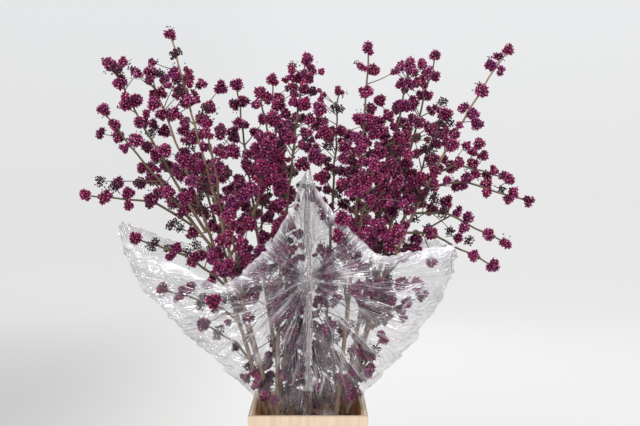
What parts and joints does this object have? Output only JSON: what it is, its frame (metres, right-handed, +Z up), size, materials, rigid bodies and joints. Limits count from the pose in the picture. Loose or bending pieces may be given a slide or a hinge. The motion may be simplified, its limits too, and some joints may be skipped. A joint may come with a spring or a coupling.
{
  "type": "cut beautyberry branches in a wooden box",
  "caption": "Tall cut branches with round magenta berry clusters in pairs, in two clear film sleeves that stand in an open square wooden box.",
  "frame": {"origin": "centre of the box's flat underside", "axes": "+Z up along the stems, +X to the right across the front of the box, +Y from the front to the back"},
  "size_m": [0.9399, 0.5077, 1.0176],
  "materials": {
    "plywood": "satin",
    "film": "gloss",
    "bark": "matte",
    "berries": "satin"
  },
  "bodies": {
    "root": {"box_front": "plywood", "box_back": "plywood", "box_left": "plywood", "box_right": "plywood", "box_floor": "plywood", "left_film_sleeve": "film", "right_film_sleeve": "film", "left_leader_stem": "bark", "left_outer_stem": "bark", "left_centre_stem": "bark", "left_back_stem": "bark", "left_rear_stem": "bark", "middle_rear_stem": "bark", "right_leader_stem": "bark", "right_upright_stem": "bark", "right_inner_stem": "bark", "right_middle_stem": "bark", "right_rear_stem": "bark", "centre_rear_stem": "bark", "left_high_bough": "bark", "left_low_bough": "bark", "left_inner_bough": "bark", "left_leader_stem_shoot": "berries", "left_outer_stem_shoot": "berries", "left_centre_stem_shoot": "berries", "left_back_stem_shoot": "berries", "left_rear_stem_shoot": "berries", "middle_rear_stem_shoot": "berries", "right_leader_stem_shoot": "berries", "right_upright_stem_shoot": "berries", "right_inner_stem_shoot": "berries", "right_middle_stem_shoot": "berries", "right_rear_stem_shoot": "berries", "centre_rear_stem_shoot": "berries", "left_high_bough_shoot": "berries", "left_low_bough_shoot": "berries", "left_inner_bough_shoot": "berries", "left_reach_shoot": "berries", "left_brim_shoot": "berries", "left_under_high_shoot": "berries", "left_under_low_shoot": "berries", "left_heart_shoot": "berries", "left_front_shoot": "berries", "left_waist_shoot": "berries", "left_foot_shoot": "berries", "left_core_shoot": "berries", "left_behind_shoot": "berries", "left_far_shoot": "berries", "right_reach_shoot": "berries", "right_reach_high_shoot": "berries", "right_reach_low_shoot": "berries", "right_droop_shoot": "berries", "right_under_high_shoot": "berries", "right_under_low_shoot": "berries", "right_heart_shoot": "berries", "right_front_shoot": "berries", "right_brim_shoot": "berries", "right_foot_shoot": "berries", "right_core_shoot": "berries", "right_far_shoot": "berries"}
  },
  "joints": []
}
